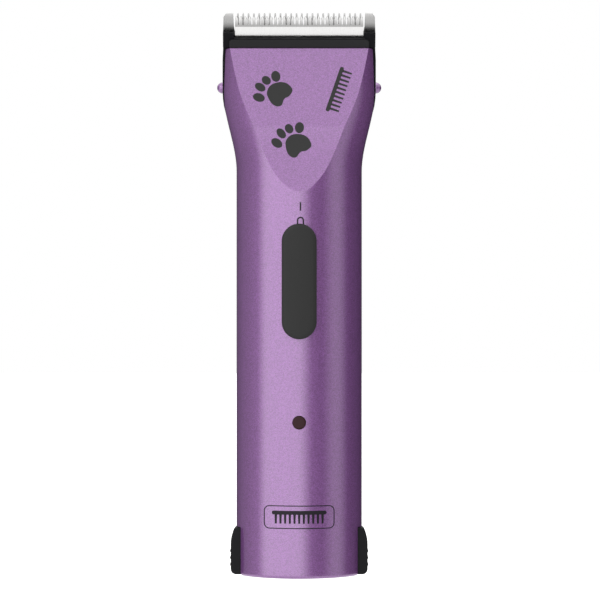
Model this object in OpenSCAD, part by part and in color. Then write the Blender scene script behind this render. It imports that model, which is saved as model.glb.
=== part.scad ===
// Cordless pet clipper: a slim handle, a flared head with a blade set that hooks on,
// and a battery pack that slides out of the base. Millimetres, +Z up, front is -Y,
// origin at the centre of the flat base.

/* [Overall] */
// Length from the base to the tips of the comb
length = 172.5; // [150:0.5:210]
// Width of the handle
handle_w = 38.6; // [37:0.2:47]
// Depth of the handle from front to back
handle_d = 36; // [35:0.2:44]
// Width of the head
head_w = 47.4; // [46.6:0.2:57]
// Thickness of the housing wall
wall = 1.8; // [1.4:0.1:2.2]

/* [Head] */
// Length of the flat facet on the front, measured down from the tips
facet_len = 55.1; // [50:0.1:60]
// How far the facet falls back for each millimetre of height
facet_slope = 0.25; // [0.22:0.01:0.26]
// Height from the tips down to the top edge of the housing
shell_drop = 10.8; // [10.6:0.1:11.2]
// Lean of the blade towards the front, in degrees
blade_lean = 20; // [19:0.5:21]

/* [Blades] */
// Number of comb teeth
comb_teeth = 24; // [20:1:24]
// Pitch of the comb teeth
comb_pitch = 1.634; // [1.4:0.01:1.64]
// Length of the comb teeth
comb_tooth_len = 6.6; // [5:0.1:7]
// Thickness of the comb plate
comb_t = 1.6; // [1.4:0.05:1.6]
// Number of cutter teeth
cutter_teeth = 30; // [24:1:32]
// Width of the cutter
cutter_w = 39.6; // [36:0.2:40]
// Thickness of the cutter plate
cutter_t = 1.5; // [1.2:0.05:1.5]
// Travel of the cutter to each side
cutter_throw = 1.2; // [0.8:0.05:1.2]
// Travel of the adjuster bar to each side
adjust_throw = 1.6; // [1:0.1:1.6]
// Travel of the comb up and down
comb_throw = 1.2; // [0.8:0.05:1.2]
// Diameter of the adjuster bar
adjust_d = 3.44; // [3:0.02:3.44]

/* [Switch] */
// Length of the switch slider
slider_l = 35; // [28:0.5:42]
// Width of the switch slider
slider_w = 10.6; // [9:0.1:13]
// How far the slider stands out of the handle
slider_h = 1.6; // [1.2:0.1:2.4]
// Travel of the slider
slider_throw = 3.7; // [3:0.1:4.5]
// Height of the slider above the light
light_gap = 25.2; // [22:0.1:30]
// Diameter of the charge light lens
light_d = 4.1; // [3:0.1:5]

/* [Drive] */
// Diameter of the motor
motor_d = 20.6; // [17:0.1:21]
// Length of the motor can
motor_l = 30; // [25:0.5:34]
// Diameter of the motor shaft
shaft_d = 2; // [1.6:0.1:2.4]
// Offset of the drive pin from the motor axis
crank = 0.9; // [0.7:0.05:0.9]
// Diameter of the lever pivot pin
pivot_d = 2.5; // [2:0.1:3]

/* [Battery] */
// Depth of the battery case
case_d = 17; // [16.5:0.1:18]
// Wall of the battery case
case_wall = 0.9; // [0.8:0.1:1.1]
// Diameter of one cell
cell_d = 14; // [12:0.1:14]
// Height of the release buttons
button_h = 14.6; // [12:0.1:16]
// How far the buttons stand out of the handle
button_out = 1.7; // [1.2:0.1:2.2]
// Travel of a release button
button_throw = 1.2; // [0.8:0.1:1.4]

/* [Hidden] */
$fn = 48;

// Clearances: a close fit, a running fit and free room round a moving piece
fit = 0.05;
run = 0.1;
room = 0.3;
// Reach of a cut past the face it opens
over = 1;

// Handle and head, half sizes and heights
half_w = handle_w / 2;
half_d = handle_d / 2;
head_half = head_w / 2;
base_bevel = 1;
flare_z = length - 48.5;
flare_l = 25;
rear_z = length - 48.5;
rear_l = 29;
rear_end = 9;
shell_top = length - shell_drop;
arm_top = length - 5;
facet_z = length - facet_len;
section_sides = 48;
section_shift = 1.5;
power_front = 1.7;
power_handle = 1.85;
power_rear = 2.2;

// Blade frame: x across, y through the blade (0 is the skin face), z along it (0 at the tips)
tip_thin = 1;
tip_z = length + tip_thin * sin(blade_lean);
facet_wall = wall * sqrt(1 + facet_slope * facet_slope);
skin_gap = 0.0696;
tip_y = -half_d + facet_slope * (facet_len - shell_drop) + facet_wall + skin_gap;
comb_end = -17.6;
cutter_top = -0.85;
cutter_root = -3.34;
strip_end = -6.5;
cutter_end = -12.2;
cutter_face = -comb_t - fit / 2 - cutter_t;
bar_y = tip_y + 5;
bar_z = length - 22.6;
bar_v = cos(blade_lean) * (bar_z - tip_z) - sin(blade_lean) * (bar_y - tip_y);
bar_w = cos(blade_lean) * (bar_y - tip_y) + sin(blade_lean) * (bar_z - tip_z);
adjust_pin_x = 9;
adjust_pin_d = 2;
ear_half = head_half - 0.35;
ear_in = cutter_w / 2 + 0.45;
ear_end = -5.4;
arm_in = cutter_w / 2 + cutter_throw + room;
web_front = bar_w - adjust_d / 2 - 1.25;
web_top = -20.1;
web_end = -29;
heel_v = -28.5;
heel_wall = 1.8;

// Seat between the housing and the blade set, as y and z
seat_bend_z = length - 26.5;
seat_low_z = length - 34;
seat_heel_z = length - 35.9;
hook_z = length - 37.3;
hook_y = 11.8 + half_d - 18;
hook_d = 1.8;
hook_half = 6;
hook_ring = 4;

// Board and spine, the motor and the drive, as y and z
spine_t = 1.2;
board_t = 1.6;
spine_y = -half_d + wall + 6.9;
board_y = spine_y - spine_t;
board_w = 16;
plate_z = length - 59;
plate_t = 2.5;
motor_y = spine_y + motor_d / 2 + 1;
motor_z = plate_z - motor_l;
cap_h = 3;
can_t = 0.8;
pivot_z = length - 34;
pivot_arm = 12.5;
crank_z = pivot_z - pivot_arm;
tip_arm = 16.5;
hub_z = plate_z + plate_t + 0.4;
hub_top = crank_z - 3.5;
hub_d = 5.4;
crank_d = 2.4;
crank_ring = 4.4;
fork_half = crank_ring / 2 + crank + (pivot_arm + 3) * cutter_throw / tip_arm + 2 * run;
wall_y = motor_y + crank + crank_ring / 2 + room;
sleeve_d = 6.4;
lever_t = 1.8;
lever_y = tip_y - 1;
tip_d = 2.6;

// Slider, light and board heights
slider_top = facet_z - 9.8;
slider_z = slider_top - slider_l / 2;
light_z = slider_top - slider_l - light_gap;
board_low = light_z - 4.4;
board_top = plate_z - 2.5;

// Battery pack
button_z = 0.4;
cap_top = button_h + room + 0.1;
case_w = handle_w - 2 * wall - 4;
case_r = 7;
case_y = spine_y + room + case_d / 2 + 3.5;
case_top = motor_z - cap_h - 7.5;
shelf_z = case_top + 2.5;
shelf_t = 1.5;
pocket_x = half_w - wall - 3.3;
button_in = pocket_x + button_throw + 0.2;
cutout_half = 5.9;
button_half = cutout_half - room;
spring_z = 7;
spring_d = 3.4;
screw_x = half_w - 6;
screw_d = 2;
screw_head_d = 4;
screw_seat = 10;
screw_short = 0.746;
screw_deep = skin_at(screw_x) - wall - screw_short;
screw_low = case_top + 6;
screw_high = plate_z + 6;
boss_d = 5.2;

function smooth(t) = t <= 0 ? 0 : (t >= 1 ? 1 : t * t * (3 - 2 * t));
function half_at(z) = half_w + (head_half - half_w) * smooth((z - flare_z) / flare_l);
function rear_at(z) = half_d - (half_d - rear_end) * smooth((z - rear_z) / rear_l);
// Depth of the handle's front at a distance across
function skin_at(x) = half_d * pow(1 - pow(x / half_w, power_handle), 1 / power_handle);
function bend(c, p) = sign(c) * pow(abs(c), 2 / p);
// One section of the housing, pulled in all round; in the head its widest line moves forward
function section(z, pull) =
  let (grow = smooth((z - flare_z) / flare_l), shift = section_shift * grow)
  [
    for (i = [0:section_sides - 1])
      let (
        t = 360 * i / section_sides,
        front = sin(t) < 0,
        p = front ? power_handle + (power_front - power_handle) * grow : power_rear,
        depth = front ? half_d - shift : rear_at(z) + shift
      )
      [(half_at(z) - pull) * bend(cos(t), p), (depth - pull) * bend(sin(t), p) - shift]
  ];
function facet_y(z) = -half_d + facet_slope * (z - facet_z);

// A solid through the housing's sections: pull moves its skin inwards, ends are two heights
module loft(pull, low, high, bevel) {
  steps = 10;
  heights = concat(
    [low, low + base_bevel, rear_z],
    [for (i = [1:steps]) rear_z + i * (flare_z + flare_l - rear_z) / steps],
    [shell_top, high]
  );
  points = [
    for (k = [0:len(heights) - 1])
      for (q = section(heights[k], pull + (k == 0 ? bevel : 0)))
        [q[0], q[1], heights[k]]
  ];
  n = section_sides;
  last = (len(heights) - 1) * n;
  sides = [
    for (k = [0:len(heights) - 2])
      for (i = [0:n - 1])
        for (half = [0, 1])
          let (a = k * n + i, b = k * n + (i + 1) % n)
          half == 0 ? [a, a + n, b + n] : [a, b + n, b]
  ];
  floor_face = [[for (i = [0:n - 1]) i]];
  roof_face = [[for (i = [n - 1:-1:0]) last + i]];
  polyhedron(points = points, faces = concat(floor_face, sides, roof_face));
}

// Extrudes a (y, z) outline along x, centred
module along_x(w) {
  rotate([90, 0, 90]) linear_extrude(w, center = true) children();
}

// Extrudes an (x, z) outline along y, centred
module along_y(d) {
  rotate([90, 0, 0]) linear_extrude(d, center = true) children();
}

// A round bar along y between two y values
module rod_y(d, y0, y1) {
  translate([0, y1, 0]) rotate([90, 0, 0]) cylinder(h = y1 - y0, d = d);
}

// A round bar along x, centred
module rod_x(d, l) {
  rotate([0, 90, 0]) cylinder(h = l, d = d, center = true);
}

// A box from its two corners
module block(a, b) {
  translate(a) cube(b - a);
}

module in_blade() {
  translate([0, tip_y, tip_z]) rotate([blade_lean, 0, 0]) children();
}

// A slot with round ends: l between the end centres, lying along x
module slot2d(l, d) {
  square([l, d], center = true);
  for (s = [-1, 1]) translate([s * l / 2, 0]) circle(d = d);
}

module rounded2d(w, d, r) {
  square([w - 2 * r, d], center = true);
  square([w, d - 2 * r], center = true);
  for (sx = [-1, 1]) for (sy = [-1, 1])
    translate([sx * (w / 2 - r), sy * (d / 2 - r)]) circle(r = r);
}

// Everything in front of the facet plane, moved back by a given amount
module facet_cut(back) {
  z0 = facet_z - 40;
  z1 = length + 10;
  along_x(head_w * 2)
    polygon([[facet_y(z0) + back, z0], [facet_y(z1) + back, z1], [-half_d - 30, z1], [-half_d - 30, z0]]);
}

// The space behind the seat line, where the blade set goes
module seat_space(gap) {
  y0 = tip_y + gap;
  along_x(head_w * 2)
    polygon([
      [y0 + 0.4, length + 20], [y0 + 0.4, shell_top], [y0 + 2.1, seat_bend_z + gap],
      [y0 + 7, seat_low_z + gap], [hook_y - 2.8, seat_heel_z + gap],
      [half_d + 20, seat_heel_z + gap], [half_d + 20, length + 20]
    ]);
}

// A point on the skin face of the comb, moved forward by a given amount, as y and z
function skin_point(v, back) = [
  tip_y - v * sin(blade_lean) - back * cos(blade_lean),
  tip_z + v * cos(blade_lean) - back * sin(blade_lean)
];

// Side outline of the blade set: the skin face, then the heel down to the rear shell
module set_outline() {
  heel_y = rear_at(seat_heel_z) - 0.1;
  low_z = seat_heel_z - 10;
  along_x(head_w * 2)
    polygon([skin_point(over, 0), skin_point(heel_v, 0), [heel_y, seat_heel_z + room], [heel_y, low_z],
      [-2 * half_d, low_z], [-2 * half_d, tip_z]]);
}

// Hollow of the heel, for the lever and the chassis wall
module heel_room() {
  heel_y = rear_at(seat_heel_z) - 1.35 * heel_wall;
  low_z = seat_heel_z - 10;
  roof = skin_point(web_end, 0) - [0, heel_wall];
  intersection() {
    translate([0, 0, low_z]) linear_extrude(arm_top - low_z) polygon(section(seat_heel_z, wall + room));
    along_x(head_w * 2)
      polygon([[heel_y, low_z], [heel_y, seat_heel_z], roof, roof - [handle_d, handle_d * 0.36],
        [roof[0] - handle_d, low_z]]);
  }
}

module housing_skin() {
  difference() {
    loft(0, 0, arm_top, base_bevel);
    facet_cut(0);
  }
}

module housing_room() {
  difference() {
    loft(wall, -over, arm_top + over, 0);
    facet_cut(facet_wall);
  }
}

module button_openings() {
  for (s = [-1, 1])
    translate([s * (half_w + 1), 0, button_h / 2 - over])
      cube([10, 2 * cutout_half, button_h + 2 * over + 2 * room], center = true);
}

// The part of a piece that lies inside the straight handle's wall
module inside_handle(z0, z1) {
  intersection() {
    translate([0, 0, z0]) linear_extrude(z1 - z0) polygon(section(z1, wall / 2));
    children();
  }
}

module screw_places() {
  for (s = [-1, 1]) for (z = [screw_low, screw_high]) translate([s * screw_x, 0, z]) children();
}

module front_shell() {
  color("mediumpurple") difference() {
    union() {
      difference() {
        intersection() {
          housing_skin();
          block([-head_w, -handle_d, 0], [head_w, 0, shell_top]);
        }
        housing_room();
        seat_space(0);
        button_openings();
      }
      inside_handle(screw_low - boss_d, screw_high + boss_d / 2)
        screw_places() rod_y(boss_d, -handle_d, -fit);
    }
    screw_places() rod_y(screw_d, -screw_deep - 0.5, over);
    translate([0, 0, light_z]) rod_y(light_d + 2 * fit, -handle_d, -half_d + 3 * wall);
    translate([0, -half_d, slider_z + slider_throw / 2])
      cube([4.4, 4 * wall, 6 + slider_throw + 2 * room], center = true);
  }
}

module rear_shell() {
  color("rebeccapurple") difference() {
    union() {
      difference() {
        intersection() {
          housing_skin();
          block([-head_w, 0, 0], [head_w, handle_d, shell_top]);
        }
        housing_room();
        seat_space(0);
        button_openings();
      }
      inside_handle(screw_low - boss_d, screw_high + boss_d / 2)
        screw_places() rod_y(boss_d, fit, handle_d);
      for (s = [-1, 1])
        block([s * (hook_half + 2) - 1.5, hook_y - 2, hook_z - 3.6],
          [s * (hook_half + 2) + 1.5, rear_at(hook_z) - wall / 2, seat_heel_z]);
    }
    screw_places() rod_y(screw_d + 2 * run, -over, handle_d);
    screw_places() rod_y(screw_head_d + 4 * run, screw_seat, handle_d);
    translate([0, hook_y, hook_z]) rod_x(hook_d, 2 * hook_half + 6);
    block([-hook_half - room, hook_y - 3, hook_z - hook_ring / 2 - room],
      [hook_half + room, hook_y + hook_ring / 2 + room, length]);
    block([-hook_half - room, hook_y, hook_z - 0.5], [hook_half + room, handle_d, length]);
  }
}

module shell_screws() {
  color("silver") screw_places() {
    rod_y(screw_d, -screw_deep, screw_seat);
    difference() {
      rod_y(screw_head_d, screw_seat, screw_seat + 1.6);
      translate([0, screw_seat + 1.4, 0]) cube([2.6, 1, 0.7], center = true);
      translate([0, screw_seat + 1.4, 0]) cube([0.7, 1, 2.6], center = true);
    }
  }
}

// Frame that carries the motor, the board, the lever pin and the pack contacts
module chassis() {
  ring_t = 1.6;
  color("dimgray") difference() {
    union() {
      translate([0, 0, plate_z]) linear_extrude(plate_t) polygon(section(plate_z, wall + fit));
      block([-board_w / 2 - 1, board_y, board_low], [board_w / 2 + 1, spine_y, plate_z]);
      for (z = [motor_z + 3, plate_z - 6])
        translate([0, motor_y, z]) cylinder(h = 3, d = motor_d + 2 * ring_t);
      block([-9, board_y, shelf_z], [9, spine_y + case_d, shelf_z + shelf_t]);
      block([-9, wall_y, plate_z], [9, wall_y + 2, pivot_z + 2]);
      for (s = [-1, 1])
        block([s * 8 - 1, wall_y, plate_z], [s * 8 + 1, wall_y + 7, plate_z + 12]);
    }
    translate([0, motor_y, motor_z - over]) cylinder(h = motor_l + over, d = motor_d + 2 * fit);
    translate([0, motor_y, plate_z - over]) cylinder(h = plate_t + 2 * over, d = 7);
    for (s = [-1, 1]) translate([s * 6, motor_y, plate_z - over]) cylinder(h = 6, d = 1.8);
    for (s = [-1, 1]) translate([s * 4, 0, motor_z - cap_h - 1.5]) rod_y(1.6, board_y - 1, spine_y + 1);
    translate([0, 0, pivot_z]) rod_y(pivot_d, wall_y - over, wall_y + 3);
    screw_places() rod_y(boss_d + 2 * room, -handle_d, handle_d);
  }
}

module motor_can() {
  color("silver") difference() {
    translate([0, motor_y, motor_z]) cylinder(h = motor_l, d = motor_d);
    translate([0, motor_y, motor_z - over])
      cylinder(h = motor_l - can_t + over, d = motor_d - 2 * can_t);
    translate([0, motor_y, plate_z - 2]) cylinder(h = 4, d = 6);
    for (s = [-1, 1]) translate([s * 6, motor_y, plate_z - 2]) cylinder(h = 4, d = 1.6);
  }
}

// Two curved magnets against the inside of the can
module motor_magnets() {
  outer = motor_d - 2 * can_t - 2 * fit;
  color("darkslategray") difference() {
    translate([0, motor_y, motor_z + 3]) cylinder(h = motor_l - 8, d = outer);
    translate([0, motor_y, motor_z]) cylinder(h = motor_l, d = outer - 3);
    translate([0, motor_y, plate_z - motor_l / 2]) cube([5, motor_d, motor_l], center = true);
  }
}

module motor_bearing() {
  color("goldenrod") difference() {
    translate([0, motor_y, plate_z - 2.2]) cylinder(h = 3.6, d = 6 - 2 * fit);
    translate([0, motor_y, plate_z - 4]) cylinder(h = 8, d = shaft_d + fit);
  }
}

module motor_end_cap() {
  color("black") difference() {
    union() {
      translate([0, motor_y, motor_z - cap_h]) cylinder(h = cap_h, d = motor_d - 0.6);
      translate([0, motor_y, motor_z]) cylinder(h = 1.5, d = motor_d - 2 * can_t - 2 * fit);
    }
    translate([0, motor_y, motor_z - 1.5]) cylinder(h = 4, d = shaft_d + fit);
    for (s = [-1, 1])
      block([s * 4 - 1.1, motor_y - 8.1, motor_z - 4], [s * 4 + 1.1, motor_y - 6.9, motor_z - 1]);
  }
}

module motor_terminals() {
  color("gold") for (s = [-1, 1])
    block([s * 4 - 1, motor_y - 8, motor_z - cap_h - 3], [s * 4 + 1, motor_y - 7, motor_z - 1.2]);
}

module motor_screws() {
  color("silver") for (s = [-1, 1]) translate([s * 6, motor_y, 0]) {
    translate([0, 0, plate_z - 0.8]) cylinder(h = plate_t + 0.8, d = 1.5);
    translate([0, 0, plate_z + plate_t]) cylinder(h = 0.9, d = 2.8);
  }
}

// Two insulated leads from the motor terminals to the board
module motor_leads() {
  color("red") for (s = [-1, 1])
    translate([s * 4, 0, motor_z - cap_h - 1.5]) rod_y(1.2, board_y, motor_y - 8);
}

module circuit_board() {
  color("darkgreen") difference() {
    block([-board_w / 2, board_y - board_t, board_low], [board_w / 2, board_y, board_top]);
    for (z = [board_low + 2.2, board_top - 2.2]) translate([0, 0, z]) rod_y(2, -handle_d, handle_d);
  }
}

module board_parts() {
  face = board_y - board_t;
  low = light_z + 5;
  color("black") {
    block([-3.5, face - 1.3, low], [3.5, face, low + 7]);
    translate([-4.5, 0, low + 12]) rod_y(5, face - 2, face);
    block([1.5, face - 1, low + 10], [6.5, face, low + 13]);
  }
  color("gold") block([-6, face - 1.6, board_top - 8], [6, face, board_top - 5]);
}

module switch_body() {
  face = board_y - board_t;
  color("gainsboro") translate([0, face - 1.1, slider_z + slider_throw / 2])
    cube([8, 2.2, 15], center = true);
}

module charge_light() {
  face = board_y - board_t;
  color("ivory") translate([0, 0, light_z]) {
    rod_y(3, face - 2.6, face);
    rod_y(4, face - 0.8, face);
  }
}

module light_lens() {
  color("maroon") translate([0, 0, light_z]) {
    rod_y(light_d, -half_d + 0.1, -half_d + 2.9);
    rod_y(light_d + 1.4, -half_d + wall + 0.45, -half_d + 2.9);
  }
}

// Sprung contacts under the shelf, which meet the pack's plates
module contact_springs() {
  color("gold") for (s = [-1, 0, 1])
    block([s * 6 - 1, case_y - 3, case_top + 0.4], [s * 6 + 1, case_y + 3, shelf_z]);
}

module pivot_pin() {
  color("silver") translate([0, 0, pivot_z]) difference() {
    rod_y(pivot_d, lever_y - 1.6, wall_y + 2);
    difference() {
      rod_y(pivot_d + 1, lever_y - 1, lever_y - 0.4);
      rod_y(pivot_d - 0.7, lever_y - 1, lever_y - 0.4);
    }
  }
}

module lever_clip() {
  color("dimgray") translate([0, 0, pivot_z]) difference() {
    rod_y(pivot_d + 2.6, lever_y - 0.95, lever_y - 0.45);
    rod_y(pivot_d - 0.6, lever_y - 2, lever_y + 1);
    block([-0.8, lever_y - 2, -4], [0.8, lever_y + 1, 0]);
  }
}

module hook_pin() {
  color("silver") translate([0, hook_y, hook_z]) rod_x(hook_d, 2 * hook_half + 6);
}

// Slider that lies on the handle and hides the window under it
module switch_slider() {
  mid = slider_l - slider_w;
  color("#333333") difference() {
    translate([0, -half_d + 1, slider_z]) along_y(2 * slider_h + 2)
      rotate(90) slot2d(mid, slider_w);
    translate([0, 0, slider_z - slider_l]) linear_extrude(2 * slider_l)
      polygon(section(0, -run));
  }
}

module switch_link() {
  face = board_y - board_t - 2.2;
  color("#333333") block([-2, -half_d + run, slider_z - 3], [2, face - run, slider_z + 3]);
}

module motor_shaft() {
  color("silver") translate([0, motor_y, motor_z - 1]) cylinder(h = hub_top - motor_z, d = shaft_d);
}

module motor_core() {
  color("peru") difference() {
    translate([0, motor_y, motor_z + 2.2]) cylinder(h = motor_l - 6, d = motor_d - 6);
    translate([0, motor_y, motor_z]) cylinder(h = motor_l, d = shaft_d);
  }
}

// Hub on the shaft with the offset drive pin
module eccentric_hub() {
  color("black") difference() {
    union() {
      translate([0, motor_y, hub_z]) cylinder(h = hub_top - hub_z, d = hub_d);
      translate([crank, motor_y, hub_z + 1]) cylinder(h = crank_z + 3 - hub_z - 1, d = crank_d);
    }
    translate([0, motor_y, hub_z - over]) cylinder(h = hub_top - hub_z, d = shaft_d);
  }
}

module eccentric_bearing() {
  color("silver") translate([crank, motor_y, crank_z - 2.5]) difference() {
    cylinder(h = 5, d = crank_ring);
    translate([0, 0, -over]) cylinder(h = 5 + 2 * over, d = crank_d);
  }
}

// Rocking lever: its fork straddles the drive pin and its tip moves the cutter
module drive_lever() {
  prong = 2;
  bridge_z = crank_z + 4.6;
  bore = pivot_d + 1.2;
  color("white") difference() {
    union() {
      translate([0, 0, pivot_z]) rod_y(sleeve_d, lever_y, wall_y - room);
      for (s = [-1, 1])
        block([s * (fork_half + prong / 2) - prong / 2, motor_y - 2.5, crank_z - 3],
          [s * (fork_half + prong / 2) + prong / 2, motor_y + 2.5, bridge_z + 1.5]);
      block([-fork_half - prong, motor_y - 2.5, bridge_z],
        [fork_half + prong, motor_y + 2.5, bridge_z + 3]);
      block([-2, motor_y - 2.5, bridge_z], [2, motor_y + 2.5, pivot_z]);
      translate([0, lever_y + lever_t / 2, 0]) along_y(lever_t)
        polygon([[-2.2, pivot_z], [2.2, pivot_z], [1, pivot_z + 11.5], [1, pivot_z + tip_arm],
          [-1, pivot_z + tip_arm], [-1, pivot_z + 11.5]]);
      translate([0, 0, pivot_z + tip_arm]) rod_y(tip_d, lever_y, lever_y + 3.5);
    }
    translate([0, 0, pivot_z]) rod_y(bore, lever_y - over, wall_y + over);
  }
}

module lever_bushing() {
  color("goldenrod") translate([0, 0, pivot_z]) difference() {
    rod_y(pivot_d + 1.2, lever_y, wall_y - room);
    rod_y(pivot_d + fit, lever_y - over, wall_y + over);
  }
}

// Frame of the detachable blade set, with its lip, arms, heel and hook
module blade_carrier() {
  lip_low = -9.5;
  lip_top = -7.1;
  layer = cutter_face - 0.2;
  recess = 17.1;
  mount_low = -27.6;
  arm_mid = (ear_half + arm_in) / 2;
  arm_half = (ear_half - arm_in) / 2;
  color("#222222") difference() {
    union() {
      difference() {
        intersection() {
          loft(0.1, seat_heel_z - 5, arm_top, 0);
          seat_space(room);
          set_outline();
        }
        heel_room();
        in_blade() block([-head_w, -handle_d, ear_end], [head_w, over, 3 * over]);
      }
      in_blade() for (s = [-1, 1]) {
        block([s * (arm_mid - 0.7) - arm_half - 0.7, layer - 1.4, lip_low - 0.4],
          [s * (arm_mid - 0.7) + arm_half + 0.7, layer, ear_end]);
        block([s * arm_mid - arm_half, layer, web_top - 2], [s * arm_mid + arm_half, -comb_t - run, ear_end]);
      }
      in_blade() block([-arm_in, layer - 1.6, lip_low], [arm_in, layer, lip_top]);
      translate([0, hook_y, hook_z]) rod_x(hook_ring, 2 * hook_half);
      block([-hook_half, hook_y - hook_ring / 2, hook_z], [hook_half, hook_y - 0.2, seat_heel_z + 2.6]);
    }
    // Layers of the cutter, the comb and its mount
    in_blade() {
      block([-arm_in, layer, web_top], [arm_in, over, 3 * over]);
      block([-head_w, -comb_t - run, comb_end - comb_throw - room], [head_w, over, 3 * over]);
      block([-recess, -comb_t - run, comb_end - comb_throw - 2], [recess, over, comb_end]);
      block([-recess, -1.25, mount_low - comb_throw - run], [recess, over, comb_end]);
      block([-15.4, -handle_d, web_top], [15.4, layer + 0.01, lip_low - 0.4]);
      block([-arm_in + 1, -handle_d, web_top], [arm_in - 1, layer - 1.4, lip_low - 0.4]);
    }
    // Bore and windows of the adjuster
    translate([0, bar_y, bar_z]) rod_x(adjust_d + 2 * run, 2 * head_w);
    in_blade() adjuster_pin_places() translate([0, bar_w / 2, 0])
      cube([2 * (adjust_throw + run) + adjust_pin_d, -bar_w, adjust_pin_d + 4 * run], center = true);
    // Hook bore, its mouth and the relief that lets the heel tip back
    translate([0, hook_y, hook_z]) rod_x(hook_d + 2 * fit, 4 * hook_half);
    block([-2 * hook_half, hook_y - 0.75, hook_z - 4], [2 * hook_half, hook_y + 0.75, hook_z]);
    along_x(2 * head_w) polygon([[hook_y, seat_heel_z], [hook_y, seat_heel_z + 0.45],
      [hook_y + 8, seat_heel_z + 4.6], [hook_y + 8, seat_heel_z]]);
    in_blade() for (s = [-1, 1]) translate([s * 12, 0, -21.4]) rod_y(1.4, web_front - over, web_front + 2.5);
    in_blade() translate([0, web_front, -26.4]) cube([16.2, 1.2, 1.2], center = true);
  }
}

// Two sprung fingers that press the cutter against the comb
module tension_spring() {
  from_v = -20.4;
  to_v = -11.2;
  rise = cutter_face - 0.4 - web_front;
  color("silver") in_blade() {
    difference() {
      block([-13.8, web_front - 0.4, -22.6], [13.8, web_front, from_v]);
      for (s = [-1, 1]) translate([s * 12, 0, -21.4]) rod_y(1.4, web_front - 2, web_front + 2);
    }
    for (s = [-1, 1]) translate([s * 12, 0, 0]) along_x(3)
      polygon([[web_front - 0.4, from_v], [web_front, from_v], [web_front + rise + 0.35, to_v - 1],
        [web_front + rise + 0.35, to_v], [web_front + rise - 0.05, to_v],
        [web_front + rise - 0.05, to_v - 1]]);
  }
}

module spring_screws() {
  color("silver") in_blade() for (s = [-1, 1]) translate([s * 12, 0, -21.4]) {
    rod_y(1.3, web_front - 0.4, web_front + 1.4);
    rod_y(2.4, web_front - 1, web_front - 0.4);
  }
}

// Small leaf in the web that gives the adjuster its clicks
module click_spring() {
  color("silver") in_blade()
    translate([0, web_front + 0.1, -26.4]) cube([16, 0.9, 1], center = true);
}

// Outline of a row of teeth, from its root line up to the tips
function tooth(c, top, root, tip_half, shoulder, root_half) = [
  [c + root_half, root], [c + shoulder[0], shoulder[1]], [c + tip_half, top],
  [c - tip_half, top], [c - shoulder[0], shoulder[1]], [c - root_half, root]
];

module cutter_blade() {
  pitch = cutter_w / cutter_teeth;
  h = cutter_w / 2;
  teeth = [
    for (i = [cutter_teeth - 1:-1:0])
      for (q = tooth((i - (cutter_teeth - 1) / 2) * pitch, cutter_top, cutter_root, 0.12,
        [0.47, cutter_top - 0.9], 0.5)) q
  ];
  color("gainsboro") in_blade() difference() {
    translate([0, -comb_t - fit / 2 - cutter_t / 2, 0]) along_y(cutter_t)
      polygon(concat([[-h, cutter_end], [h, cutter_end]], teeth));
    along_x(2 * head_w) polygon([[cutter_face - over, cutter_root], [cutter_face, cutter_root],
      [cutter_face + 1, over], [cutter_face - over, over]]);
    block([-head_w, cutter_face - over, cutter_end - over], [head_w, cutter_face + 0.5, strip_end]);
    for (s = [-1, 1]) translate([s * 4.4, 0, -11]) rod_y(1.2, cutter_face - over, 0);
  }
}

// Plastic driver on the cutter, with the open slot for the lever tip
module cutter_driver() {
  face = cutter_face + 0.5;
  slot_half = tip_d / 2 + fit;
  color("black") in_blade() difference() {
    union() {
      block([-6, face - 1.1, cutter_end], [6, face, -9.9]);
      block([-4.2, face - 1.9, -18.6], [4.2, face - 0.75, -11.9]);
    }
    block([-slot_half, face - 9, -30], [slot_half, face + over, -13.6]);
    for (s = [-1, 1]) translate([s * 4.4, 0, -11]) rod_y(1.2, face - 3, face + 1);
  }
}

module driver_rivets() {
  face = cutter_face + 0.5;
  color("silver") in_blade() for (s = [-1, 1])
    translate([s * 4.4, 0, -11]) rod_y(1.2, face - 1.1, -comb_t - fit);
}

module comb_blade() {
  teeth = [
    for (i = [comb_teeth - 1:-1:0])
      for (q = tooth((i - (comb_teeth - 1) / 2) * comb_pitch, 0, -comb_tooth_len, 0.13,
        [0.24, -0.5], 0.44)) q
  ];
  ear = [[ear_half - 1.2, comb_end], [ear_half, comb_end + 1.2], [ear_half, ear_end],
    [ear_half - 0.15, -1.4], [ear_half - 1, -0.15], [ear_half - 1.6, 0],
    [ear_in, 0], [ear_in - 0.2, -4.6], [ear_in - 0.6, -comb_tooth_len]];
  mirrored = [for (i = [len(ear) - 1:-1:0]) [-ear[i][0], ear[i][1]]];
  color("silver") in_blade() difference() {
    translate([0, -comb_t / 2, 0]) along_y(comb_t)
      polygon(concat(ear, teeth, mirrored));
    along_x(2 * head_w) polygon([[over, -5], [0, -5], [-tip_thin, 0], [-tip_thin, over], [over, over]]);
    for (s = [-1, 1]) translate([s * 11, 0, -15.4]) {
      rod_y(2, -3, 1);
      rod_y(4, -0.8, 1);
    }
  }
}

// Slide under the comb, with the two sloping slots that the adjuster's pins run in
module comb_mount() {
  back = -comb_t - fit / 2;
  slope = atan2(comb_throw, adjust_throw);
  reach = 2 * sqrt(comb_throw * comb_throw + adjust_throw * adjust_throw);
  color("#222222") in_blade() difference() {
    union() {
      block([-16, cutter_face + 0.05, -18.6], [16, back, -13.8]);
      block([-16, cutter_face + 0.05, -18.6], [16, -0.1, comb_end - 0.02]);
      block([-17, -1.15, -27.5], [17, -0.1, comb_end - 0.02]);
    }
    adjuster_pin_places() rotate([0, slope, 0]) along_y(6) slot2d(reach + run, adjust_pin_d + 2 * run);
    for (s = [-1, 1]) translate([s * 11, 0, -15.4]) rod_y(2, -9, 1);
  }
}

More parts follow.
